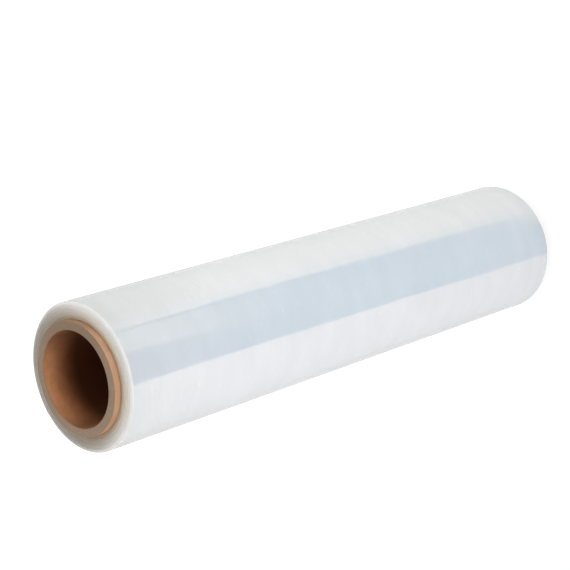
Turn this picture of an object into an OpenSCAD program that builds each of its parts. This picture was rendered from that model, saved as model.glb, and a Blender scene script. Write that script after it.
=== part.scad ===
// Roll of clear body wrap film, wound tight on a paperboard core.
// The roll stands on the cut end of its core. Its axis is Z, and the origin is the middle of that end.

/* [Film] */
// Width of the film, from edge to edge
film_w = 508; // [250:1:600]
// Thickness of the film wound on the core, up to its loose end
wound_t = 13.9; // [6:0.1:60]
// Radius that handling gives the outer turns' edges
film_corner_r = 2; // [0.5:0.1:2.5]

/* [Turns] */
// Bands of turns that show inside the outer ones on each end
band_count = 9; // [3:1:14]
// How far the bands may have wandered along the core while they were wound
band_wander = 0.4; // [0.1:0.05:0.8]
// Thickness of the outer turns, which lie with their edges in one plane
outer_turns_t = 3.2; // [2.8:0.1:4.5]

/* [Loose end] */
// How far the film's loose end stands up from the turn below it
tail_lift = 0.3; // [0.1:0.05:0.6]
// Where the loose end lies, counted from X towards Y
tail_angle = 110; // [0:5:355]

/* [Core] */
// Bore of the core
core_bore_d = 75; // [50:0.1:80]
// Wall of the core
core_wall = 6.8; // [3:0.1:9]
// Core that shows past the film at each end
core_stand_out = 5.8; // [2:0.1:20]
// Radius on the cut edges of the core
core_edge_r = 0.6; // [0.2:0.1:1.4]

/* [Hidden] */
$fn = 180;

core_d = core_bore_d + 2 * core_wall;
core_len = film_w + 2 * core_stand_out;
film_d = core_d + 2 * wound_t;

// The outer surface is a spiral of two half turns. The second is centred half a lift off the axis, towards the loose
// end, so it starts flush with the first and ends one lift above it.
tail_shift = tail_lift / 2;
first_half_r = film_d / 2 - tail_lift;
second_half_r = first_half_r + tail_shift;

// The bands fill the film from the core out to the outer turns
band_in_r = core_d / 2;
band_out_r = film_d / 2 - outer_turns_t;
band_t = (band_out_r - band_in_r) / band_count;

// Cuts reach this far past the faces that they open
cut_past = 1;

// How far down band i lies from the outer turns. Steps of the golden angle keep the bands from repeating.
golden_angle = 137.508;
least_drop = band_wander / 10;
function band_drop(i) = least_drop + (band_wander - least_drop) * (1 + sin(golden_angle * i)) / 2;

// What a corner radius takes off a corner at the origin whose sides run towards -X and -Y
module corner_cut(corner_r) {
    translate([-corner_r, -corner_r])
        difference() {
            square(corner_r + cut_past);
            circle(corner_r);
        }
}

// Section of a ring, in X from in_r to out_r, with rounded outer corners and, where asked, inner ones
module ring_section(in_r, out_r, len, corner_r, round_inside = false) {
    difference() {
        translate([in_r, 0]) square([out_r - in_r, len]);
        for (end = [0, 1])
            translate([out_r, end * len]) mirror([0, 1 - end]) corner_cut(corner_r);
        if (round_inside)
            for (end = [0, 1])
                translate([in_r, end * len]) mirror([1, 0]) mirror([0, 1 - end]) corner_cut(corner_r);
    }
}

// Half a turn of the spiral, filled in to just inside the core's surface
module half_turn(out_r) {
    rotate_extrude(angle = 180) ring_section(band_in_r - cut_past, out_r, film_w, film_corner_r);
}

// The film before its bands are set in, with the loose end on X
module outer_turns() {
    half_turn(first_half_r);
    translate([tail_shift, 0, 0]) rotate([0, 0, 180]) half_turn(second_half_r);
}

// Stairs of all the bands: the section between their edges and the level z_far, on an end at the level z_end
module band_stairs(z_end, z_far) {
    polygon([
        [band_in_r - cut_past, z_far],
        [band_in_r - cut_past, z_end - band_drop(0)],
        for (i = [0:band_count - 1], side = [0, 1])
            [band_in_r + (i + side) * band_t, z_end - band_drop(i)],
        [band_out_r, z_far]
    ]);
}

module film_roll() {
    color("#e4edf1")
        translate([0, 0, core_stand_out])
            difference() {
                union() {
                    rotate([0, 0, tail_angle]) outer_turns();
                    // Every band is as wide as the film, so what it lacks on top it shows below
                    rotate_extrude() band_stairs(0, film_w / 2);
                }
                rotate_extrude() band_stairs(film_w, film_w + cut_past);
                translate([0, 0, -band_wander - cut_past])
                    cylinder(d = core_d, h = film_w + band_wander + 2 * cut_past);
            }
}

module paper_core() {
    color("#b08a5e")
        rotate_extrude() ring_section(core_bore_d / 2, core_d / 2, core_len, core_edge_r, round_inside = true);
}

paper_core();
film_roll();
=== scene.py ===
"""A roll of clear body wrap film on a paperboard core, standing on the core's cut end in a white studio.

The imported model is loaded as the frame, and each of its two nodes is replaced by a finished mesh of the
same size: the wound film, with its turns, its rounded corners and its loose end, and the spiral-wound
core with its plies and seams. All lengths are in metres, and the roll's axis is Z.
"""

from __future__ import annotations

import logging
import math
from collections.abc import Callable, Iterator
from contextlib import contextmanager
from dataclasses import dataclass, field
from enum import Enum, IntEnum
from typing import Any

import bmesh
import bpy
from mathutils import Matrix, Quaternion, Vector, noise

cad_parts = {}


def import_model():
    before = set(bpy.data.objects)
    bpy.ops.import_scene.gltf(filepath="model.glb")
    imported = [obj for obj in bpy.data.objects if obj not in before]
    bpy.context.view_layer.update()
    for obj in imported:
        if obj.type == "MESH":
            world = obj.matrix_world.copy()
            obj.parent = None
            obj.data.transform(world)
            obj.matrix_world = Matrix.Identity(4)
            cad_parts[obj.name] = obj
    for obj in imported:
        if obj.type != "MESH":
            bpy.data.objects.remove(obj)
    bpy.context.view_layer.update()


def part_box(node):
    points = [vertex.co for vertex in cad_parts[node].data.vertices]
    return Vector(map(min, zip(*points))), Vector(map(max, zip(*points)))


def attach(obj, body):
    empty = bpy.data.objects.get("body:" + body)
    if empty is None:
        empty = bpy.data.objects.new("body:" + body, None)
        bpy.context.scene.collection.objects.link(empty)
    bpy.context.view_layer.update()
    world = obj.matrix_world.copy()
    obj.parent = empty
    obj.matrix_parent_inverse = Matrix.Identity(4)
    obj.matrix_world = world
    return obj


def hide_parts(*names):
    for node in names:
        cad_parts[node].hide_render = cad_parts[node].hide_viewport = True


MM = 0.001
ROOT_BODY = "root"
BEFORE_END = "angle_before_loose_end"

# Points closer than this to a level or a radius count as on it, and points closer than MERGED are one.
NEAR = 0.01 * MM
MERGED = 0.001 * MM
# Steps of this angle never come back to where they started, so what they drive doesn't repeat.
GOLDEN_ANGLE = math.radians(137.508)
# A Ping-Pong node with this scale gives how far a number is from the nearest whole one.
TO_NEAREST = 0.5

Box = tuple[Vector, Vector]
Tree = bpy.types.NodeTree
Stop = tuple[float, str]
Light = tuple[float, float, float, float]
Lengths = tuple[float, float, float]
# What an input gets: a node, which stands for its first output, one of its outputs, or a value.
Source = bpy.types.Node | bpy.types.NodeSocket | float
# A layer's share and its colour.
Layer = tuple[Source, Source | Light]
# A pattern's layers, and the height of its relief in metres, if there is one.
Pattern = tuple[list[Layer], Source | None]

log = logging.getLogger("film_roll")


class End(Enum):
    """The two ends of the roll, by the sign of their outward Z."""

    TOP = 1
    BOTTOM = -1


class FilmSlot(IntEnum):
    """The material slots of the film."""

    SIDE = 0
    SLIT_EDGES = 1


class CoreSlot(IntEnum):
    """The material slots of the core."""

    OUTSIDE = 0
    BORE = 1
    CUT_END = 2


class Slope(Enum):
    """How a run goes from one end to the other."""

    SMOOTH = "SMOOTHSTEP"
    STRAIGHT = "LINEAR"


def linear(code: str) -> Light:
    """Turns an sRGB hex colour into the linear one that the shaders take, by the standard's own curve.

    Args:
        code: The colour as "#rrggbb".

    Returns:
        Red, green and blue in linear light, and an alpha of 1.
    """
    shares = [int(code[i : i + 2], 16) / 255 for i in (1, 3, 5)]
    red, green, blue = (s / 12.92 if s <= 0.04045 else ((s + 0.055) / 1.055) ** 2.4 for s in shares)
    return red, green, blue, 1.0


def add_node(
    tree: Tree, kind: str, inputs: dict[str | int, Any] | None = None, **settings: Any
) -> bpy.types.Node:
    """Adds one node to a tree, with its settings, its values and its links.

    Args:
        tree: The node tree.
        kind: The node's type without its first part, so "Math" for a ShaderNodeMath.
        inputs: What each input gets, as in feed.
        settings: The node's own properties, such as operation.

    Returns:
        The new node.
    """
    node = tree.nodes.new("ShaderNode" + kind)
    for name, value in settings.items():
        setattr(node, name, value)
    feed(tree, node, inputs or {})
    return node


def feed(tree: Tree, node: bpy.types.Node, inputs: dict[str | int, Any]) -> None:
    """Gives a node's inputs their values and links.

    Args:
        tree: The node tree.
        node: The node.
        inputs: What each input gets, by its name or number. A socket is linked, and so is a node's first
            output. Anything else is the input's value.
    """
    for name, value in inputs.items():
        if isinstance(value, bpy.types.Node):
            value = value.outputs[0]
        if isinstance(value, bpy.types.NodeSocket):
            tree.links.new(value, node.inputs[name])
        else:
            node.inputs[name].default_value = value


def set_ramp(node: bpy.types.Node, stops: list[tuple[float, Light]]) -> None:
    """Gives a Color Ramp its stops.

    Args:
        node: The Color Ramp.
        stops: Each stop's place from 0 to 1 and its linear colour, in rising order.
    """
    elements = node.color_ramp.elements
    while len(elements) < len(stops):
        elements.new(1.0)
    for element, (place, colour) in zip(elements, stops, strict=True):
        element.position = place
        element.color = colour


def lay_over(tree: Tree, layers: list[Layer]) -> Source | Light:
    """Lays colours over each other.

    Args:
        tree: The node tree.
        layers: Each layer's share and colour, from the lowest up. The lowest one is everywhere.

    Returns:
        The colour that all of them give.
    """
    (_, colour), *upper = layers
    for share, over in upper:
        # The Mix node has sockets for each kind of data. Its colours are inputs 6 and 7 and output 2.
        colour = add_node(tree, "Mix", {0: share, 6: colour, 7: over}, data_type="RGBA").outputs[2]
    return colour


def all_of(tree: Tree, share: Source, *others: Source) -> Source:
    """Multiplies a share by all the others."""
    for other in others:
        share = add_node(tree, "Math", {0: share, 1: other}, operation="MULTIPLY")
    return share


@dataclass(frozen=True)
class Run:
    """A run from one result to another while a value goes from one end to the other.

    Attributes:
        ends: Where the run starts and where it ends.
        results: What it gives there, and past its ends.
        slope: How it goes from the one to the other.
    """

    ends: tuple[float, float]
    results: tuple[float, float] = (0.0, 1.0)
    slope: Slope = Slope.SMOOTH

    def add(self, tree: Tree, value: Source) -> Source:
        """Adds the run to a tree.

        Args:
            tree: The node tree.
            value: The value that it follows.

        Returns:
            The result.
        """
        inputs = {"Value": value, "From Min": self.ends[0], "From Max": self.ends[1]}
        inputs |= {"To Min": self.results[0], "To Max": self.results[1]}
        return add_node(tree, "MapRange", inputs, interpolation_type=self.slope.value)


def smooth_step(low: float, high: float, value: float) -> float:
    """Rises smoothly from 0 where value is low to 1 where it is high."""
    share = min(max((value - low) / (high - low), 0.0), 1.0)
    return share * share * (3 - 2 * share)


@contextmanager
def edit_mode(piece: bpy.types.Object) -> Iterator[None]:
    """Keeps a piece in edit mode, with nothing selected at the start."""
    bpy.context.view_layer.objects.active = piece
    bpy.ops.object.mode_set(mode="EDIT")
    bpy.ops.mesh.select_all(action="DESELECT")
    try:
        yield
    finally:
        bpy.ops.object.mode_set(mode="OBJECT")


def select_faces(piece: bpy.types.Object, test: Callable[[bmesh.types.BMFace], bool]) -> None:
    """Selects only the faces that pass a test, in edit mode."""
    bpy.ops.mesh.select_mode(type="FACE")
    mesh = bmesh.from_edit_mesh(piece.data)
    for face in mesh.faces:
        face.select_set(test(face))
    bmesh.update_edit_mesh(piece.data, loop_triangles=False, destructive=False)


def select_edges(piece: bpy.types.Object, test: Callable[[bmesh.types.BMEdge], bool]) -> None:
    """Selects only the edges that pass a test, in edit mode."""
    bpy.ops.mesh.select_mode(type="EDGE")
    mesh = bmesh.from_edit_mesh(piece.data)
    for edge in mesh.edges:
        edge.select_set(False)
    for edge in mesh.edges:
        if test(edge):
            edge.select_set(True)
    bmesh.update_edit_mesh(piece.data, loop_triangles=False, destructive=False)


def radius_of(point: Vector) -> float:
    """The distance of a point from the roll's axis."""
    return math.hypot(point.x, point.y)


def rise_of(edge: bmesh.types.BMEdge) -> float:
    """The difference in height between an edge's two ends."""
    first, second = edge.verts
    return abs(first.co.z - second.co.z)


@dataclass
class Tube:
    """A tube on the Z axis whose two ends are shaped ring by ring, from its rim in to its bore.

    Attributes:
        name: The piece's name.
        out_r: Outside radius.
        in_r: Radius of the bore.
        low: Z of the lower end.
        high: Z of the upper end.
        corner_r: Radius of the rounded outer corners.
        corner_steps: Faces across a rounded corner.
        columns: Faces round the tube.
        rows: Faces along a side.
        end_lean: The Z of its normal from which on a face belongs to an end.
        round_bore: Whether the bore's edges are rounded like the outer corners.
        sharp: The least angle between two faces that stays a crisp edge.
    """

    name: str
    out_r: float
    in_r: float
    low: float
    high: float
    corner_r: float
    corner_steps: int
    columns: int
    rows: int
    end_lean: float
    round_bore: bool = False
    sharp: float = math.radians(40)
    piece: bpy.types.Object = field(init=False, repr=False)

    def block_out(self) -> None:
        """Adds the solid cylinder and rounds its two rims."""
        bpy.ops.object.select_all(action="DESELECT")
        bpy.ops.mesh.primitive_cylinder_add(
            vertices=self.columns,
            radius=self.out_r,
            depth=self.high - self.low,
            location=(0, 0, (self.low + self.high) / 2),
            end_fill_type="NGON",
        )
        self.piece = bpy.context.object
        self.piece.name = self.piece.data.name = self.name
        bpy.ops.object.transform_apply(location=True, rotation=True, scale=True)
        with edit_mode(self.piece):
            self.round_edges(lambda e: rise_of(e) < NEAR)

    def round_edges(self, test: Callable[[bmesh.types.BMEdge], bool]) -> None:
        """Rounds the edges that pass a test, in edit mode."""
        select_edges(self.piece, test)
        bpy.ops.mesh.bevel(
            offset=self.corner_r, segments=self.corner_steps, affect="EDGES", clamp_overlap=False
        )

    def shape_end(self, end: End, rings: list[tuple[float, float]]) -> None:
        """Insets an end's flat ring by ring, and opens it at the last one.

        Args:
            end: The end to shape.
            rings: For each ring the width that it takes inwards, and how far its inner edge stands out
                from its outer one.
        """
        with edit_mode(self.piece):
            select_faces(self.piece, lambda f: len(f.verts) == self.columns and f.normal.z * end.value > 0)
            for width, rise in rings:
                bpy.ops.mesh.inset(thickness=width, depth=rise, use_even_offset=True)
            bpy.ops.mesh.delete(type="ONLY_FACE")

    def open_bore(self) -> None:
        """Joins the two open ends by the bore's wall."""
        with edit_mode(self.piece):
            select_edges(self.piece, lambda e: e.is_boundary)
            bpy.ops.mesh.bridge_edge_loops(number_cuts=0)
            if self.round_bore:
                self.round_edges(self.on_bore_edge)

    def on_bore_edge(self, edge: bmesh.types.BMEdge) -> bool:
        """Tells whether an edge lies along a rim of the bore."""
        farthest = max(radius_of(vertex.co) for vertex in edge.verts)
        return rise_of(edge) < NEAR and farthest < self.in_r + NEAR

    def cut_rows(self, side_r: float) -> None:
        """Cuts the long straight faces at a side's radius into rows."""
        half = (self.high - self.low) / 2
        with edit_mode(self.piece):
            select_edges(
                self.piece, lambda e: rise_of(e) > half and abs(radius_of(e.verts[0].co) - side_r) < NEAR
            )
            bpy.ops.mesh.subdivide(number_cuts=self.rows - 1)

    def finish_mesh(self) -> None:
        """Merges doubles, turns all faces outwards and shades the mesh smooth except across sharp edges."""
        with edit_mode(self.piece):
            bpy.ops.mesh.select_all(action="SELECT")
            bpy.ops.mesh.remove_doubles(threshold=MERGED)
            bpy.ops.mesh.normals_make_consistent(inside=False)
        bpy.ops.object.select_all(action="DESELECT")
        self.piece.select_set(True)
        bpy.context.view_layer.objects.active = self.piece
        bpy.ops.object.shade_smooth_by_angle(angle=self.sharp)

    def on_end(self, face: bpy.types.MeshPolygon) -> bool:
        """Tells whether a face belongs to one of the two ends."""
        return abs(face.normal.z) > self.end_lean


@dataclass
class WoundFilm:
    """The film, wound tight: its outer turns, the bands of turns on its ends, and its loose end.

    Attributes:
        film_box: The lowest and highest corners of the film's node.
        core_r: Outside radius of the core that it is wound on.
        corner_r: Radius of the outer turns' worn edges.
        outer_turns_t: Thickness of the turns whose edges lie level with the rim.
        band_count: Bands of turns inside them.
        band_wander: How far the bands may have wandered along the core.
        least_wander: How far each of them has wandered at least.
        skin: How far the drawn film stays inside the node's round side.
        turns_a_band: Turns drawn in each band. The real ones are 0.014 mm thick and too fine to show.
        groove_w: Width of the line between two drawn turns.
        groove_d: Its depth.
        first_turns_w: Width of the soft first turns, next to the core.
        first_turns_d: How far they lie back from the others.
        tail_angle: Where the loose end lies, from X towards Y.
        tail_lift: Height of the loose end over the turn below.
        tail_step_w: Width of the step down from it, round the film.
        tail_wave: How far the loose end's line strays to either side, as a hand-cut end does.
        tail_waves: The waves that it strays in, each with its share and its length.
        tail_reach: How far to either side the turns stray with it, as an angle.
        tail_run: How far before the loose end its turn lies loose, as an angle.
        slack_wave: Size of the waves that the last turns lie in, along X, Y and Z.
        slack: Their height.
        pucker: Size of the puckers by the loose end.
        pucker_h: Their height.
        film_lit_side: The side that the film's painted light comes from, from X towards Y.
    """

    film_box: Box
    core_r: float
    corner_r: float = 2.0 * MM
    outer_turns_t: float = 3.2 * MM
    band_count: int = 9
    band_wander: float = 0.4 * MM
    least_wander: float = 0.04 * MM
    skin: float = 0.02 * MM
    turns_a_band: int = 3
    groove_w: float = 0.06 * MM
    groove_d: float = 0.05 * MM
    first_turns_w: float = 0.8 * MM
    first_turns_d: float = 0.12 * MM
    tail_angle: float = math.radians(110)
    tail_lift: float = 0.3 * MM
    tail_step_w: float = 0.25 * MM
    tail_wave: float = 1.6 * MM
    tail_waves: tuple[tuple[float, float], ...] = ((0.6, math.tau * 23 * MM), (0.4, math.tau * 9.5 * MM))
    tail_reach: float = math.radians(45)
    tail_run: float = math.radians(42)
    slack_wave: Lengths = (40 * MM, 40 * MM, 75 * MM)
    slack: float = 0.18 * MM
    pucker: Lengths = (15 * MM, 15 * MM, 6 * MM)
    pucker_h: float = 0.22 * MM
    # The side that the film's painted light and shade are laid out by.
    film_lit_side: float = math.radians(274)
    tube: Tube = field(init=False, repr=False)

    def __post_init__(self) -> None:
        """Lays out the tube that the film is shaped from."""
        low, high = self.film_box
        self.tube = Tube(
            name="wound_film",
            out_r=high.y - self.skin,
            in_r=self.core_r,
            low=low.z + self.band_wander,
            high=high.z,
            corner_r=self.corner_r,
            corner_steps=8,
            columns=192,
            rows=200,
            end_lean=0.4,
        )

    def build(self) -> bpy.types.Object:
        """Models the film.

        Returns:
            The finished piece.
        """
        tube = self.tube
        tube.block_out()
        for end in End:
            tube.shape_end(end, self.end_rings(end))
        tube.open_bore()
        tube.cut_rows(tube.out_r)
        self.wind_last_turn()
        tube.finish_mesh()
        edges = FilmEdgeFinish(core_r=self.core_r, film_r=tube.out_r, film_lit_side=self.film_lit_side)
        side = WoundFilmFinish(
            low=tube.low, high=tube.high, film_lit_side=self.film_lit_side, tail_run=self.tail_run
        )
        dress(tube.piece, {FilmSlot.SIDE: side, FilmSlot.SLIT_EDGES: edges}, self.pick_slot)
        return tube.piece

    def pick_slot(self, face: bpy.types.MeshPolygon) -> FilmSlot:
        """Tells the film's side from its slit edges."""
        return FilmSlot.SLIT_EDGES if self.tube.on_end(face) else FilmSlot.SIDE

    def band_drop(self, band: int) -> float:
        """How far a band's edges lie below the outer turns' edges, in steps that don't repeat."""
        more = (self.band_wander - self.least_wander) * (1 + math.sin(GOLDEN_ANGLE * band)) / 2
        return self.least_wander + more

    def end_rings(self, end: End) -> list[tuple[float, float]]:
        """Lists the rings of one end, from the rounded corner in to the core.

        Args:
            end: The end that they are for.

        Returns:
            Each ring's width, and how far its inner edge stands out from its outer one.
        """
        band_w = (self.tube.out_r - self.outer_turns_t - self.core_r - self.first_turns_w) / self.band_count
        level = 0.0
        rings = self.turn_rings(self.outer_turns_t - self.corner_r)
        for band in reversed(range(self.band_count)):
            target = -self.band_drop(band) * end.value
            rings.append((self.groove_w, target - level))
            rings += self.turn_rings(band_w - self.groove_w)
            level = target
        rings.append((self.first_turns_w / 2, -self.first_turns_d))
        rings.append((self.first_turns_w / 2, 0.0))
        return rings

    def turn_rings(self, width: float) -> list[tuple[float, float]]:
        """Splits a band's width into level turns with a fine groove after each."""
        half = self.groove_w / 2
        land = width / self.turns_a_band - self.groove_w
        return [(land, 0.0), (half, -self.groove_d), (half, self.groove_d)] * self.turns_a_band

    def wind_last_turn(self) -> None:
        """Draws the outside in along a spiral, so that the last turn ends in a low step at the loose end."""
        columns, out_r = self.tube.columns, self.tube.out_r
        step = math.tau / columns
        before_end = self.tube.piece.data.attributes.new(BEFORE_END, "FLOAT", "POINT")
        for vertex in self.tube.piece.data.vertices:
            place = vertex.co
            radius = radius_of(place)
            past = (math.atan2(place.y, place.x) - self.tail_angle) % math.tau
            column = round(past / step) % columns
            before = math.tau - past if column else 0.0
            before_end.data[vertex.index].value = before
            turned = self.tail_step_w / out_r if column == 1 else column * step
            outer = smooth_step(out_r - self.outer_turns_t, out_r - self.corner_r, radius)
            stray = self.tail_stray(place.z) * smooth_step(self.tail_reach, 0, min(past, before))
            angle = self.tail_angle + turned + outer * stray
            drop = (self.spiral_drop(past) if column else 0.0) + self.sag(place, before)
            radius -= drop * outer
            place.x, place.y = radius * math.cos(angle), radius * math.sin(angle)

    def sag(self, place: Vector, before_end: float) -> float:
        """How far the last turns sag at a place, in long waves and in puckers before the loose end."""
        total = 0.0
        for size, height, strength in (
            (self.slack_wave, self.slack, 1.0),
            (self.pucker, self.pucker_h, smooth_step(self.tail_run, 0, before_end)),
        ):
            scaled = Vector(p / s for p, s in zip(place, size, strict=True))
            total += height * strength * (1 + noise.noise(scaled)) / 2
        return total

    def tail_stray(self, height: float) -> float:
        """How far the loose end's line strays from a straight one at a height, as an angle."""
        waves = sum(share * math.sin(math.tau * height / length) for share, length in self.tail_waves)
        return self.tail_wave * waves / self.tube.out_r

    def spiral_drop(self, past: float) -> float:
        """How far the surface lies inside the film's full radius, at an angle past the loose end."""
        if past < math.pi:
            return self.tail_lift
        return self.tail_lift * (1 - math.cos(past)) / 2


@dataclass
class PaperCore:
    """The spiral-wound paperboard tube that the film is wound on.

    Attributes:
        core_box: The lowest and highest corners of the core's node.
        wall: Thickness of the wall.
        edge_r: Radius of the cut edges.
        plies: Plies of board that show on the cut end.
        ply_line_w: Width of the glue line between two plies.
        ply_line_d: How deep the line lies.
    """

    core_box: Box
    wall: float = 6.8 * MM
    edge_r: float = 0.6 * MM
    plies: int = 11
    ply_line_w: float = 0.1 * MM
    ply_line_d: float = 0.04 * MM
    tube: Tube = field(init=False, repr=False)

    def __post_init__(self) -> None:
        """Lays out the tube that the core is shaped from."""
        low, high = self.core_box
        self.tube = Tube(
            name="paper_core_tube",
            out_r=high.x,
            in_r=high.x - self.wall,
            low=low.z,
            high=high.z,
            corner_r=self.edge_r,
            corner_steps=4,
            columns=160,
            rows=60,
            end_lean=0.1,
            round_bore=True,
        )

    def build(self) -> bpy.types.Object:
        """Models the core.

        Returns:
            The finished piece.
        """
        tube = self.tube
        tube.block_out()
        for end in End:
            tube.shape_end(end, self.ply_rings())
        tube.open_bore()
        tube.cut_rows(tube.out_r)
        tube.cut_rows(tube.in_r)
        tube.finish_mesh()
        bore = BorePlyFinish(length=tube.high - tube.low)
        cut = CutBoardFinish(in_r=tube.in_r, wall=self.wall, ply=self.wall / self.plies)
        finishes = {CoreSlot.OUTSIDE: KraftLinerFinish(), CoreSlot.BORE: bore, CoreSlot.CUT_END: cut}
        dress(tube.piece, finishes, self.pick_slot)
        return tube.piece

    def pick_slot(self, face: bpy.types.MeshPolygon) -> CoreSlot:
        """Tells the cut ends with their rounded edges, the bore and the outside from each other."""
        if self.tube.on_end(face):
            return CoreSlot.CUT_END
        inside = radius_of(face.center) < self.tube.out_r - self.wall / 2
        return CoreSlot.BORE if inside else CoreSlot.OUTSIDE

    def ply_rings(self) -> list[tuple[float, float]]:
        """Lists the rings of a cut end: the plies, with a glue line after each but the last."""
        flat = self.wall - self.edge_r
        ply = (flat - (self.plies - 1) * self.ply_line_w) / self.plies
        half = self.ply_line_w / 2
        rings = [(ply, 0.0)]
        for _ in range(self.plies - 1):
            rings += [(half, -self.ply_line_d), (half, self.ply_line_d), (ply, 0.0)]
        return rings


@dataclass(frozen=True, kw_only=True)
class Finish:
    """What all finishes share: a Principled shader whose constants are set on its own sockets.

    Attributes:
        name: The material's name.
        ior: Refractive index.
        roughness: Roughness.
    """

    name: str
    ior: float
    roughness: float

    def build(self) -> bpy.types.Material:
        """Makes the material.

        Returns:
            The new material, with its pattern.
        """
        material = bpy.data.materials.new(self.name)
        material.use_nodes = True
        tree = material.node_tree
        layers, relief = self.add_pattern(tree, add_node(tree, "TexCoord").outputs["Object"])
        inputs = {"Base Color": lay_over(tree, layers), **self.constants()}
        if relief is not None:
            inputs["Normal"] = add_node(tree, "Bump", {"Height": relief, "Distance": 1.0, "Strength": 1.0})
        feed(tree, tree.nodes["Principled BSDF"], inputs)
        return material

    def constants(self) -> dict[str, Any]:
        """Gives what is the same all over the surface, by the shader's input."""
        return {"IOR": self.ior, "Roughness": self.roughness}

    def add_pattern(self, tree: Tree, place: Source) -> Pattern:
        """Adds the nodes of the pattern.

        Args:
            tree: The material's tree.
            place: The place on the piece, in metres.

        Returns:
            The layers of colour, and the height of the relief in metres, if there is one.
        """
        raise NotImplementedError


def axis_distance(tree: Tree, place: Source) -> Source:
    """Adds nodes that give the distance of a place from the roll's axis."""
    flat = add_node(tree, "VectorMath", {0: place, 1: (1, 1, 0)}, operation="MULTIPLY")
    return add_node(tree, "VectorMath", {0: flat}, operation="LENGTH").outputs["Value"]


def axis_angle(tree: Tree, place: Source) -> Source:
    """Adds nodes that give the angle of a place round the roll's axis, from -pi to pi."""
    parts = add_node(tree, "SeparateXYZ", {0: place}).outputs
    return add_node(tree, "Math", {0: parts["Y"], 1: parts["X"]}, operation="ARCTAN2")


def facing(tree: Tree, place: Source, side: float) -> Source:
    """Adds nodes that give how far a place faces a side of the roll.

    Args:
        tree: The material's tree.
        place: The place on the piece.
        side: The angle of the side, from X towards Y.

    Returns:
        The cosine of the angle between them.
    """
    turned = add_node(tree, "Math", {0: axis_angle(tree, place), 1: side}, operation="SUBTRACT")
    return add_node(tree, "Math", {0: turned}, operation="COSINE")


def grain(tree: Tree, place: Source, size: Lengths, detail: float) -> Source:
    """Adds a random pattern, from 0 to 1.

    Args:
        tree: The material's tree.
        place: The place on the piece.
        size: How large the pattern's features are along X, Y and Z.
        detail: How many finer patterns lie over it.

    Returns:
        The pattern.
    """
    scaled = add_node(tree, "VectorMath", {0: place, 1: size}, operation="DIVIDE")
    return add_node(tree, "TexNoise", {"Vector": scaled, "Scale": 1.0, "Detail": detail})


@dataclass(frozen=True, kw_only=True)
class FilmFinish(Finish):
    """What the film's side and its edges share: light goes in and scatters among the turns.

    Attributes:
        film_lit_side: The side that the film's painted light comes from, from X towards Y.
        depth: How far light goes in.
        spread: How much of that depth red, green and blue light reach.
        scatter: Share of the light that goes in.
    """

    film_lit_side: float
    depth: float = 9 * MM
    spread: Lengths = (1.0, 1.0, 1.0)
    scatter: float = 0.7

    def constants(self) -> dict[str, Any]:
        """Gives what is the same all over the surface, by the shader's input."""
        inside = {"Subsurface Weight": self.scatter, "Subsurface Scale": self.depth}
        return super().constants() | inside | {"Subsurface Radius": self.spread}


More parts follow.
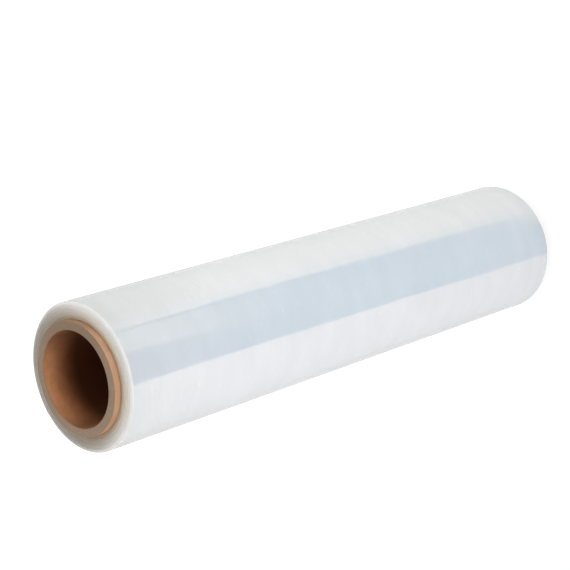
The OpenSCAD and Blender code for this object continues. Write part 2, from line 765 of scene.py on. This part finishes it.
@dataclass(frozen=True, kw_only=True)
class WoundFilmFinish(FilmFinish):
    """Blown polyethylene film, wound tight in hundreds of clear turns.

    One turn is clear. The pile of them scatters light and looks milky, and all their faces together
    mirror more than one face would, so its IOR is above the plastic's own 1.51.

    Attributes:
        low: Z of the film's lower end.
        high: Z of its upper end.
        tail_run: How far before the loose end its turn lies loose, as an angle.
        milky: Colour where the turns lie loose on each other.
        clear: Colour where they cling together and more light goes in.
        cloud: Size of the patches that cling together, along X, Y and Z.
        cling: Share of the clear colour, by the pattern of the patches.
        die_line: Size of the lines that the die leaves round the film. Real ones are finer, and too fine
            to show.
        line_share: How strongly they show in the colour.
        line_h: Their height.
        rim: Painted shade by the ends, where light leaks out through the slit edges.
        warm: The same, warmer, with more painted shade on the side away from the light and the core's brown
            coming through.
        tight: Share of the warm colour, by how far a place faces away from the light.
        rim_w: Width of the zone by an end.
        rim_share: How much of its colour shows at the edge.
        air: Colour of air between the turns.
        trapped: Size of the short lines of air that were wound in.
        trapped_share: How much of their colour shows, by their pattern.
        bubble: Size of the patches by the loose end where air has come under it.
        bubble_share: How much of their colour shows, by their pattern.
        crease: Size of the long soft creases that the winding leaves.
        crease_h: Their height.
        pucker: Size of the small wrinkles in a few patches and by the loose end.
        pucker_h: Their height.
        patch: Size of those patches.
        patch_share: How strongly they are wrinkled, by their pattern.
        edge: Colour of the loose end's own edge, with a painted shadow of its step.
        step_shadow_run: Width of that edge and its painted shadow, as an angle. It is drawn wider than the
            film is thick, so that it shows.
    """

    low: float
    high: float
    tail_run: float
    name: str = "wound_polyethylene_film"
    ior: float = 2.75
    roughness: float = 0.08
    milky: str = "#e6e6e7"
    clear: str = "#dfe0e1"
    cloud: Lengths = (45 * MM, 45 * MM, 18 * MM)
    cling: Run = Run((0.4, 0.94), slope=Slope.STRAIGHT)
    die_line: Lengths = (400 * MM, 400 * MM, 1.1 * MM)
    line_share: float = 0.25
    line_h: float = 0.006 * MM
    # Painted shade by the ends of the film.
    rim: str = "#dadddd"
    warm: str = "#dfd9cd"
    # Share of the warmer painted shade, on the side away from the light.
    tight: Run = Run((-0.7, 0.3))
    rim_w: float = 24 * MM
    rim_share: float = 0.65
    air: str = "#f4f5f6"
    trapped: Lengths = (7 * MM, 7 * MM, 0.9 * MM)
    trapped_share: Run = Run((0.78, 0.86), (0.0, 0.8), Slope.STRAIGHT)
    bubble: Lengths = (16 * MM, 16 * MM, 5 * MM)
    bubble_share: Run = Run((0.42, 0.62), (0.0, 0.7), Slope.STRAIGHT)
    crease: Lengths = (8 * MM, 8 * MM, 240 * MM)
    crease_h: float = 0.07 * MM
    pucker: Lengths = (9 * MM, 9 * MM, 3.5 * MM)
    pucker_h: float = 0.25 * MM
    patch: Lengths = (30 * MM, 30 * MM, 36 * MM)
    patch_share: Run = Run((0.66, 0.8), (0.0, 0.6))
    edge: str = "#b4bcc0"
    step_shadow_run: float = math.radians(1.2)

    def add_pattern(self, tree: Tree, place: Source) -> Pattern:
        """Adds the clouds, die lines, the rims' painted shade, the loose end with a painted shadow of its
        step, and the relief that bends reflections.
        """
        die_lines = grain(tree, place, self.die_line, detail=3)
        clouds = grain(tree, place, self.cloud, detail=3)
        clinging = add_node(
            tree, "Math", {0: die_lines, 1: self.line_share, 2: clouds}, operation="MULTIPLY_ADD"
        )
        # Painted shade at both rims, warmer and stronger on the side away from the light.
        tight = self.tight.add(tree, facing(tree, place, self.film_lit_side + math.pi))
        rim = lay_over(tree, [(1.0, linear(self.rim)), (tight, linear(self.warm))])
        trapped = self.trapped_share.add(tree, grain(tree, place, self.trapped, detail=0))
        before_end = add_node(tree, "Attribute", attribute_name=BEFORE_END).outputs["Fac"]
        flap = Run((0.0, self.tail_run), (1.0, 0.0)).add(tree, before_end)
        bubbles = self.bubble_share.add(tree, grain(tree, place, self.bubble, detail=1))
        # A painted shadow of the loose end's step, along its edge.
        step_shadow = Run((0.0, self.step_shadow_run), (1.0, 0.0), Slope.STRAIGHT).add(tree, before_end)
        layers = [
            (1.0, linear(self.milky)),
            (self.cling.add(tree, clinging), linear(self.clear)),
            (self.add_rim_share(tree, place), rim),
            (trapped, linear(self.air)),
            (all_of(tree, bubbles, flap), linear(self.air)),
            (step_shadow, linear(self.edge)),
        ]

        patches = self.patch_share.add(tree, grain(tree, place, self.patch, detail=0))
        puckered = add_node(tree, "Math", {0: patches, 1: flap}, operation="MAXIMUM")
        wrinkles = all_of(tree, grain(tree, place, self.pucker, detail=2), puckered)
        relief: Source = 0.0
        for form, height in (
            (die_lines, self.line_h),
            (grain(tree, place, self.crease, detail=1), self.crease_h),
            (wrinkles, self.pucker_h),
        ):
            relief = add_node(tree, "Math", {0: form, 1: height, 2: relief}, operation="MULTIPLY_ADD")
        return layers, relief

    def add_rim_share(self, tree: Tree, place: Source) -> Source:
        """Adds how much of the rims' painted shade shows, which rises softly towards both ends."""
        height = add_node(tree, "SeparateXYZ", {0: place}).outputs["Z"]
        middle = (self.low + self.high) / 2
        half = self.high - middle
        offset = add_node(tree, "Math", {0: height, 1: middle}, operation="SUBTRACT")
        out = add_node(tree, "Math", {0: offset}, operation="ABSOLUTE")
        return Run((half - self.rim_w, half), (0.0, self.rim_share)).add(tree, out)


@dataclass(frozen=True, kw_only=True)
class FilmEdgeFinish(FilmFinish):
    """The slit edges of the turns, which lie side by side on the ends of the roll.

    The knife leaves each edge fine and matt. Light goes in between the turns and comes back brown near
    the core. The colours paint that light in: a painted glow towards the rim, and painted shade by the
    core and on the side away from the light.

    Attributes:
        core_r: Radius of the innermost turn.
        film_r: Radius of the outermost one.
        loose: The colours on the side towards the light, where the edges look palest, from the core
            outwards, each with its place from 0 to 1. Their fade is painted light: a glow towards the rim,
            brown by the core.
        tight: The same in painted shade: on the side away from the light, by the core, and in fine rings.
        shade_and_rings: Share of the tight colours, by the rings and by the painted shade.
        core_shade: How much more painted shade lies at the core than at the outermost turn.
        ring_w: Mean width of the rings. They are drawn wider than the real turns, so that they show.
    """

    core_r: float
    film_r: float
    name: str = "slit_film_edges"
    ior: float = 1.51
    roughness: float = 0.42
    # Colours towards the light: painted glow near the rim, and the brown that light brings back from the
    # core.
    loose: tuple[Stop, ...] = (
        (0.03, "#f4dcb8"),
        (0.2, "#ebddc9"),
        (0.42, "#ece8df"),
        (0.65, "#f1efe9"),
        (0.85, "#f2f1ef"),
        (1.0, "#d8d9d6"),
    )
    # Painted shade colours: away from the light, by the core and in the rings.
    tight: tuple[Stop, ...] = ((0.0, "#7d6852"), (0.4, "#82735f"), (1.0, "#8e867a"))
    shade_and_rings: Run = Run((-0.3, 1.2), (0.0, 0.8))
    core_shade: float = 0.6
    ring_w: float = 0.5 * MM

    def add_pattern(self, tree: Tree, place: Source) -> Pattern:
        """Adds the fade outwards and the rings, with their painted glow and shade. Their relief is in the
        mesh.
        """
        radius = axis_distance(tree, place)
        outward = Run((self.core_r, self.film_r), slope=Slope.STRAIGHT).add(tree, radius)
        ramps = []
        for fading in (self.loose, self.tight):
            ramps.append(add_node(tree, "ValToRGB", {"Fac": outward}))
            set_ramp(ramps[-1], [(at, linear(code)) for at, code in fading])
        turns = add_node(tree, "Math", {0: radius, 1: self.ring_w}, operation="DIVIDE")
        rings = add_node(tree, "TexNoise", {"W": turns, "Scale": 1.0, "Detail": 3.0}, noise_dimensions="1D")
        # Painted shade: edges facing away from the light take more of the tight colours.
        loose = facing(tree, place, self.film_lit_side)
        shade_and_rings = add_node(tree, "Math", {0: rings, 1: loose}, operation="SUBTRACT")
        # Painted shade by the core: the inner turns take more of the tight colours, the outer ones less.
        half = self.core_shade / 2
        eased = Run((0.0, 1.0), (half, -half), Slope.STRAIGHT).add(tree, outward)
        shade_and_rings = add_node(tree, "Math", {0: shade_and_rings, 1: eased}, operation="ADD")
        return [(1.0, ramps[0]), (self.shade_and_rings.add(tree, shade_and_rings), ramps[1])], None


@dataclass(frozen=True, kw_only=True)
class BoardFinish(Finish):
    """What the core's papers share: light and dark fibres, and painted shade on one side.

    Attributes:
        light: Colour of the lighter fibres.
        dark: Colour of the darker ones.
        shade: Share of the darker ones, by their pattern.
        fibre: Size of the fibres along X, Y and Z. They are drawn coarser than real ones, so that they
            show.
        fibre_h: Their height.
        side_shade: Colour of the painted shade.
        shaded_side: The side that it lies on, from X towards Y.
        side_shade_share: How much of it shows, by how far a place faces that side.
    """

    light: str
    dark: str
    shade: Run
    fibre: Lengths
    fibre_h: float
    shaded_side: float
    side_shade_share: Run
    ior: float = 1.5
    side_shade: str = "#66523f"

    def add_shade_and_wear(self, tree: Tree, place: Source) -> list[Layer]:
        """Adds the painted shade on one side."""
        return [(self.side_shade_share.add(tree, facing(tree, place, self.shaded_side)), linear(self.side_shade))]


@dataclass(frozen=True, kw_only=True)
class KraftLinerFinish(BoardFinish):
    """Kraft paper, the outer and inner ply of the core: orange-brown, smooth and dull, with long fibres.

    Attributes:
        mottle: Size of the clouds in the pulp.
        seam: Colour of the line where the edges of the wound strip meet.
        advance: How far the strip moves along the core in one turn.
        seam_start: How far below the origin the line crosses the X axis.
        seam_w: Half the width of the line, along the core.
        seam_d: Its depth.
    """

    name: str = "kraft_paper_liner"
    roughness: float = 0.72
    light: str = "#c49c7c"
    dark: str = "#b18868"
    shade: Run = Run((0.7, 1.3), slope=Slope.STRAIGHT)
    fibre: Lengths = (2.2 * MM, 2.2 * MM, 0.6 * MM)
    fibre_h: float = 0.03 * MM
    mottle: Lengths = (9 * MM, 9 * MM, 9 * MM)
    seam: str = "#7f5c3f"
    advance: float = 142 * MM
    seam_start: float = 85 * MM
    seam_w: float = 0.5 * MM
    seam_d: float = 0.12 * MM
    # The side of the liner that painted shade lies on.
    shaded_side: float = math.radians(342)
    side_shade_share: Run = Run((0.75, 1.0), (0.0, 0.47))

    def add_pattern(self, tree: Tree, place: Source) -> Pattern:
        """Adds the fibres, the clouds in the pulp, the painted shade (with the bore's wear) and the seam of
        the strip.
        """
        fibres = grain(tree, place, self.fibre, detail=4)
        mottle = grain(tree, place, self.mottle, detail=2)
        both = add_node(tree, "Math", {0: fibres, 1: mottle}, operation="ADD")

        height = add_node(tree, "SeparateXYZ", {0: place}).outputs["Z"]
        started = add_node(tree, "Math", {0: height, 1: self.seam_start}, operation="ADD")
        risen = add_node(tree, "Math", {0: started, 1: self.advance}, operation="DIVIDE")
        turned = add_node(tree, "Math", {0: axis_angle(tree, place), 1: math.tau}, operation="DIVIDE")
        strip = add_node(tree, "Math", {0: risen, 1: turned}, operation="SUBTRACT")
        off = add_node(tree, "Math", {0: strip, 1: TO_NEAREST}, operation="PINGPONG")
        line = Run((0.0, self.seam_w / self.advance), (1.0, 0.0), Slope.STRAIGHT).add(tree, off)

        layers = [(1.0, linear(self.light)), (self.shade.add(tree, both), linear(self.dark))]
        # Painted shade on one side, and in the bore also the darker wear at the openings.
        layers += self.add_shade_and_wear(tree, place)
        layers.append((line, linear(self.seam)))
        raised = add_node(tree, "Math", {0: fibres, 1: self.fibre_h}, operation="MULTIPLY")
        sunk = add_node(tree, "Math", {0: line, 1: self.seam_d}, operation="MULTIPLY")
        return layers, add_node(tree, "Math", {0: raised, 1: sunk}, operation="SUBTRACT")


@dataclass(frozen=True, kw_only=True)
class BorePlyFinish(KraftLinerFinish):
    """The bore's ply, of redder kraft than the liner, with painted shade deep inside and away from the lit
    side, and darker wear right at the openings.

    Attributes:
        length: Length of the core.
        deep_shade_and_wear: Colour of the painted shade deep inside and away from the lit side, and of the
            wear at the openings.
        depth_shade: Share of that colour as painted shade, by how far in from an opening the paper lies.
        worn: The same for the paper that is worn right at an opening.
        bore_lit_side: The side that the painted light comes from, from X towards Y.
        shaded: Share of that colour as painted shade, by how far a place faces that side.
    """

    length: float
    name: str = "kraft_paper_bore_ply"
    light: str = "#f2ad7b"
    dark: str = "#d89361"
    seam: str = "#9a6a48"
    seam_start: float = 33 * MM
    seam_w: float = 0.4 * MM
    deep_shade_and_wear: str = "#734526"
    depth_shade: Run = Run((16 * MM, 33 * MM))
    worn: Run = Run((0.0, 9 * MM), (0.3, 0.0), Slope.STRAIGHT)
    bore_lit_side: float = math.radians(90)
    shaded: Run = Run((0.35, 1.0), (0.8, 0.0))

    def add_shade_and_wear(self, tree: Tree, place: Source) -> list[Layer]:
        """Adds the painted shade deep inside and away from the lit side, and the darker wear right at the
        openings.
        """
        height = add_node(tree, "SeparateXYZ", {0: place}).outputs["Z"]
        inward = add_node(tree, "Math", {0: height, 1: self.length / 2}, operation="PINGPONG")
        facing_lit_side = facing(tree, place, self.bore_lit_side)
        # Painted shade by depth and by side, and the darker wear at the openings, all in one colour.
        shares = (
            self.depth_shade.add(tree, inward),
            self.worn.add(tree, inward),
            self.shaded.add(tree, facing_lit_side),
        )
        return [(share, linear(self.deep_shade_and_wear)) for share in shares]


@dataclass(frozen=True, kw_only=True)
class CutBoardFinish(BoardFinish):
    """Sawn edge of the core's grey-brown board: matt, a little furry, with glue lines between plies.

    Attributes:
        in_r: Radius of the bore.
        wall: Thickness of the core's wall.
        ply: Thickness of one ply.
        glue: Colour of the glue lines.
        glue_share: How much of it shows, by how far a place is from the line, in plies.
        liner: Colour of the kraft plies on the inside and the outside.
        liner_plies: How far in from the wall's faces it ends and starts to fade out, in plies.
    """

    in_r: float
    wall: float
    ply: float
    name: str = "sawn_chipboard_edge"
    roughness: float = 0.9
    light: str = "#ad957e"
    dark: str = "#927d69"
    shade: Run = Run((0.3, 0.7), slope=Slope.STRAIGHT)
    fibre: Lengths = (0.8 * MM, 0.8 * MM, 0.8 * MM)
    fibre_h: float = 0.15 * MM
    glue: str = "#7a6653"
    glue_share: Run = Run((0.0, 0.16), (0.5, 0.0), Slope.STRAIGHT)
    liner: str = "#a37d5e"
    liner_plies: tuple[float, float] = (1.4, 1.0)
    # The side of the cut end that painted shade lies on.
    shaded_side: float = math.radians(340)
    side_shade_share: Run = Run((0.3, 1.0), (0.0, 0.28))

    def add_pattern(self, tree: Tree, place: Source) -> Pattern:
        """Adds the plies with their glue lines, the painted shade on one side and the torn fibres."""
        fibres = grain(tree, place, self.fibre, detail=4)
        inward = add_node(tree, "Math", {0: axis_distance(tree, place), 1: self.in_r}, operation="SUBTRACT")
        plies = add_node(tree, "Math", {0: inward, 1: self.ply}, operation="DIVIDE")
        off = add_node(tree, "Math", {0: plies, 1: TO_NEAREST}, operation="PINGPONG")
        half = self.wall / 2
        offset = add_node(tree, "Math", {0: inward, 1: half}, operation="SUBTRACT")
        off_middle = add_node(tree, "Math", {0: offset}, operation="ABSOLUTE")
        fade, full = (half - plies_in * self.ply for plies_in in self.liner_plies)
        layers = [
            (1.0, linear(self.light)),
            (self.shade.add(tree, fibres), linear(self.dark)),
            (self.glue_share.add(tree, off), linear(self.glue)),
            (Run((fade, full), slope=Slope.STRAIGHT).add(tree, off_middle), linear(self.liner)),
        ]
        # Painted shade on one side of the cut end.
        layers += self.add_shade_and_wear(tree, place)
        return layers, add_node(tree, "Math", {0: fibres, 1: self.fibre_h}, operation="MULTIPLY")


@dataclass(frozen=True)
class SkyBand:
    """Soft light from a band of directions round the room.

    Attributes:
        share: Its share of the light, by the Z of the direction.
        light: Its light, by the Y of the direction, which is lowest on the camera's side.
    """

    share: Run
    light: Run


@dataclass(frozen=True)
class Studio:
    """The white studio: its floor, the soft light all round and the camera.

    The roll in the photo lies on its side between two large lit walls, and the gap between them shows as
    a blue band along the film. Here the roll stands, so the floor lets reflections through, and the walls
    go on below it. Heights are the Z of a direction, and angles go round the room in degrees, from X
    towards Y.

    Attributes:
        camera_at: Where the camera stands.
        aim: The point that it looks at.
        roll_deg: How far it is turned about its view, clockwise from upright.
        lens_mm: Focal length.
        sensor_mm: Width of the sensor.
        floor_size: Side of the floor.
        floor_paper: Colour that the floor throws back at the roll.
        floor_glow: Light that the floor always shows the camera.
        shadow_share: Light that it shows besides, where nothing shades it.
        sky: The soft light, which is low and bright on the camera's side and high on the far one.
        wall: Light of the lit walls in a mirror.
        cool_wall: The same for the wall below the roll in the photo.
        back: Light of the wall behind the roll.
        round_room: The walls' light, by angle.
        room: Light of the room past the walls' ends.
        wall_ends: Share of the room, by height.
        right_ends: How sharply the walls end towards the right, by angle.
        left_ends: The same towards the left.
        gap_lower: Angle of the gap's lower edge, by height.
        gap_upper: Angle of its upper edge, by height.
        gap_foot: What is added to that angle, by height. It narrows the gap at its foot.
        gap_soft: Half the width of the soft edges, in degrees.
        gap: Light of the gap, by height.
        fringe: Light of the pale mist past the gap's upper edge.
        fringe_start: How it comes in at that edge, by the angle past it.
        fringe_fade: How it fades out, by the angle past the edge.
        fringe_share: How much of it shows, by height.
        haze: Light of the mist across a part of the gap.
        haze_lower: Angle of its lower edge, by height.
        haze_inset: How far it ends before the gap's upper edge, in degrees.
        haze_soft: Half the width of its soft edges, in degrees.
        haze_share: How much of it shows, by height.
        far_gap: The second gap, on the far side, from and to which angle.
        far_soft: Half the width of its soft edges, in degrees.
        far_light: Its light.
        far_share: How much of it shows, by height. It is seen from other sides than the photo's.
        upward: Share of the walls without gaps, by height.
    """

    camera_at: Lengths = (-0.00491, -1.03110, 1.27365)
    aim: Lengths = (0.02282, 0.0, 0.28611)
    roll_deg: float = 106.567
    lens_mm: float = 108.47
    sensor_mm: float = 36.0
    floor_size: float = 8.0
    floor_paper: str = "#efefef"
    floor_glow: float = 0.838
    shadow_share: float = 0.34
    sky: tuple[SkyBand, ...] = (
        SkyBand(share=Run((0.2, 0.36), (1.0, 0.0)), light=Run((-0.95, -0.35), (3.6, 1.72))),
        SkyBand(share=Run((0.2, 0.5), (0.0, 1.0)), light=Run((-0.5, 0.5), (0.15, 1.3))),
    )
    wall: Light = (1.0, 1.0, 1.0, 1.0)
    cool_wall: Light = (0.96, 1.01, 1.1, 1.0)
    back: Light = (0.82, 0.82, 0.82, 1.0)
    round_room: tuple[tuple[float, Light], ...] = (
        (-170.0, cool_wall),
        (-100.0, cool_wall),
        (-60.0, wall),
        (5.0, wall),
        (75.0, back),
        (125.0, back),
        (165.0, cool_wall),
    )
    room: Light = (0.42, 0.43, 0.4, 1.0)
    wall_ends: Run = Run((-0.67, -0.61))
    right_ends: Run = Run((-115.0, -60.0), (0.35, 1.0))
    left_ends: Run = Run((-30.0, 95.0), (1.0, 0.25))
    gap_lower: Run = Run((-0.783, -0.669), (-130.5, -123.2), Slope.STRAIGHT)
    gap_upper: Run = Run((-0.783, -0.700), (-47.0, -39.0), Slope.STRAIGHT)
    gap_foot: Run = Run((-0.793, -0.783), (-22.0, 0.0), Slope.STRAIGHT)
    gap_soft: float = 1.2
    gap: tuple[tuple[float, Light], ...] = (
        (-0.8, (0.42, 0.66, 0.88, 1.0)),
        (-0.75, (0.2, 0.5, 0.78, 1.0)),
        (-0.69, (0.12, 0.44, 0.72, 1.0)),
        (-0.65, (0.0, 0.26, 0.52, 1.0)),
        (-0.61, (0.0, 0.08, 0.3, 1.0)),
    )
    fringe: Light = (0.55, 0.85, 0.93, 1.0)
    fringe_start: Run = Run((-6.0, -2.0))
    fringe_fade: Run = Run((0.0, 22.0), (1.0, 0.0))
    fringe_share: Run = Run((-0.66, -0.62), (0.6, 0.28))
    haze: Light = (0.78, 0.9, 0.82, 1.0)
    haze_lower: Run = Run((-0.668, -0.620), (-87.0, -75.0), Slope.STRAIGHT)
    haze_inset: float = 3.5
    haze_soft: float = 1.6
    haze_share: Run = Run((-0.7, -0.62), (0.0, 0.5))
    far_gap: tuple[float, float] = (78.0, 118.0)
    far_soft: float = 6.0
    far_light: Light = (0.2, 0.5, 0.78, 1.0)
    far_share: Run = Run((-0.58, -0.5))
    upward: Run = Run((-0.12, 0.05))

    def build(self) -> None:
        """Sets up the whole studio."""
        bpy.context.scene.view_settings.view_transform = "Standard"
        self.add_camera()
        self.add_floor()
        self.light_world()

    def add_camera(self) -> None:
        """Adds the camera and makes it the scene's."""
        data = bpy.data.cameras.new("camera")
        data.lens, data.sensor_width = self.lens_mm, self.sensor_mm
        camera = bpy.data.objects.new("camera", data)
        camera.location = self.camera_at
        camera.rotation_mode = "QUATERNION"
        view = Vector(self.aim) - Vector(self.camera_at)
        turn = Quaternion((0, 0, 1), -math.radians(self.roll_deg))
        camera.rotation_quaternion = view.to_track_quat("-Z", "Y") @ turn
        bpy.context.scene.collection.objects.link(camera)
        bpy.context.scene.camera = camera

    def add_floor(self) -> None:
        """Lays the white floor that the roll stands on."""
        bpy.ops.object.select_all(action="DESELECT")
        bpy.ops.mesh.primitive_plane_add(size=self.floor_size)
        floor = bpy.context.object
        floor.name = "studio_floor"
        material = bpy.data.materials.new("white_background_paper")
        material.use_nodes = True
        tree = material.node_tree
        tree.nodes.remove(tree.nodes["Principled BSDF"])
        paper = add_node(tree, "BsdfDiffuse", {"Color": linear(self.floor_paper)})
        white = add_node(tree, "Emission", {"Strength": self.floor_glow})
        shade = add_node(tree, "BsdfDiffuse", {"Color": (self.shadow_share,) * 3 + (1.0,)})
        seen = add_node(tree, "AddShader", {0: white, 1: shade})
        plain = add_node(tree, "MixShader", {0: self.add_straight(tree), 1: paper, 2: seen})
        glossy = add_node(tree, "LightPath").outputs["Is Glossy Ray"]
        # Rays that the film mirrors go through the floor, to the walls below it.
        through = add_node(tree, "MixShader", {0: glossy, 1: plain, 2: add_node(tree, "BsdfTransparent")})
        feed(tree, tree.nodes["Material Output"], {"Surface": through})
        floor.data.materials.append(material)

    def add_straight(self, tree: Tree) -> Source:
        """Adds the share of the rays that see the background, straight on or through clear things."""
        ray = add_node(tree, "LightPath").outputs
        return add_node(
            tree, "Math", {0: ray["Is Camera Ray"], 1: ray["Is Transmission Ray"]}, operation="MAXIMUM"
        )

    def light_world(self) -> None:
        """Lights the scene from all round, and shows the two lit walls to the film."""
        world = bpy.data.worlds.new("studio_world")
        bpy.context.scene.world = world
        world.use_nodes = True
        tree = world.node_tree
        direction = add_node(tree, "TexCoord").outputs["Generated"]
        glossy = add_node(tree, "LightPath").outputs["Is Glossy Ray"]
        layers = [
            (1.0, self.add_sky(tree, direction)),
            (glossy, self.add_walls(tree, direction)),
            (self.add_straight(tree), (1, 1, 1, 1)),
        ]
        feed(tree, tree.nodes["Background"], {"Color": lay_over(tree, layers)})

    def add_sky(self, tree: Tree, direction: Source) -> Source:
        """Adds the soft light of the room.

        Args:
            tree: The world's tree.
            direction: The direction that is looked in.

        Returns:
            The light.
        """
        parts = add_node(tree, "SeparateXYZ", {0: direction}).outputs
        total: Source = 0.0
        for band in self.sky:
            share, light = band.share.add(tree, parts["Z"]), band.light.add(tree, parts["Y"])
            total = add_node(tree, "Math", {0: share, 1: light, 2: total}, operation="MULTIPLY_ADD")
        return total

    def add_walls(self, tree: Tree, direction: Source) -> Source:
        """Adds what the film mirrors: the lit walls, the gap between them and the mist in and above it.

        Args:
            tree: The world's tree.
            direction: The direction that is looked in.

        Returns:
            The light.
        """
        parts = add_node(tree, "SeparateXYZ", {0: direction}).outputs
        height = parts["Z"]
        angle = add_node(tree, "Math", {0: parts["Y"], 1: parts["X"]}, operation="ARCTAN2")
        degrees = add_node(tree, "Math", {0: angle}, operation="DEGREES")
        round_room = self.add_scale(tree, degrees, self.round_room)
        ends = all_of(
            tree,
            self.wall_ends.add(tree, height),
            self.right_ends.add(tree, degrees),
            self.left_ends.add(tree, degrees),
        )

        upper, foot = self.gap_upper.add(tree, height), self.gap_foot.add(tree, height)
        upper = add_node(tree, "Math", {0: upper, 1: foot}, operation="ADD")
        past = add_node(tree, "Math", {0: degrees, 1: upper}, operation="SUBTRACT")
        fringe = all_of(
            tree,
            self.fringe_fade.add(tree, past),
            self.fringe_start.add(tree, past),
            self.fringe_share.add(tree, height),
        )
        in_gap = self.add_between(tree, degrees, self.gap_lower.add(tree, height), upper, self.gap_soft)

        haze_upper = add_node(tree, "Math", {0: upper, 1: self.haze_inset}, operation="SUBTRACT")
        in_haze = self.add_between(
            tree, degrees, self.haze_lower.add(tree, height), haze_upper, self.haze_soft
        )
        haze = all_of(tree, in_haze, self.haze_share.add(tree, height))
        gap = lay_over(tree, [(1.0, self.add_scale(tree, height, self.gap)), (haze, self.haze)])

        in_far = self.add_between(tree, degrees, *self.far_gap, self.far_soft)
        layers = [
            (1.0, round_room),
            (ends, self.room),
            (fringe, self.fringe),
            (in_gap, gap),
            (all_of(tree, in_far, self.far_share.add(tree, height)), self.far_light),
            (self.upward.add(tree, height), round_room),
        ]
        return lay_over(tree, layers)

    def add_scale(self, tree: Tree, value: Source, stops: tuple[tuple[float, Light], ...]) -> Source:
        """Adds the light that belongs to a value.

        Args:
            tree: The world's tree.
            value: The value.
            stops: The value and the light at each step of the scale, in rising order.

        Returns:
            The light.
        """
        low, high = stops[0][0], stops[-1][0]
        along = Run((low, high), slope=Slope.STRAIGHT).add(tree, value)
        scale = add_node(tree, "ValToRGB", {"Fac": along})
        set_ramp(scale, [((at - low) / (high - low), light) for at, light in stops])
        return scale

    def add_between(self, tree: Tree, value: Source, low: Source, high: Source, soft: float) -> Source:
        """Adds a share that is 1 where a value lies between two others.

        Args:
            tree: The world's tree.
            value: The value.
            low: The lower limit.
            high: The upper limit.
            soft: Half the width of the soft edges.

        Returns:
            The share.
        """
        inside = Run((-soft, soft))
        past_low = add_node(tree, "Math", {0: value, 1: low}, operation="SUBTRACT")
        below_high = add_node(tree, "Math", {0: high, 1: value}, operation="SUBTRACT")
        return all_of(tree, inside.add(tree, past_low), inside.add(tree, below_high))


def dress(
    piece: bpy.types.Object,
    finishes: dict[IntEnum, Finish],
    pick: Callable[[bpy.types.MeshPolygon], IntEnum],
) -> None:
    """Gives a piece its finishes.

    Args:
        piece: The piece.
        finishes: The finish of each material slot, in the slots' order.
        pick: Tells for a face which of the slots it gets.
    """
    for finish in finishes.values():
        piece.data.materials.append(finish.build())
    for face in piece.data.polygons:
        face.material_index = pick(face)


def main() -> None:
    """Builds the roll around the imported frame, and the studio around the roll."""
    logging.basicConfig(level=logging.INFO, format="%(message)s")
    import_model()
    film_box, core_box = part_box("film_roll"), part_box("paper_core")
    Studio().build()

    core = PaperCore(core_box)
    film = WoundFilm(film_box, core_r=core.tube.out_r)
    for builder, node, slot in ((core, "paper_core", "paperboard"), (film, "film_roll", "wound_film")):
        piece = builder.build()
        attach(piece, ROOT_BODY)
        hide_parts(node)
        log.info("%s: %d faces, stands for %s", piece.name, len(piece.data.polygons), node)


if __name__ == "__main__":
    main()
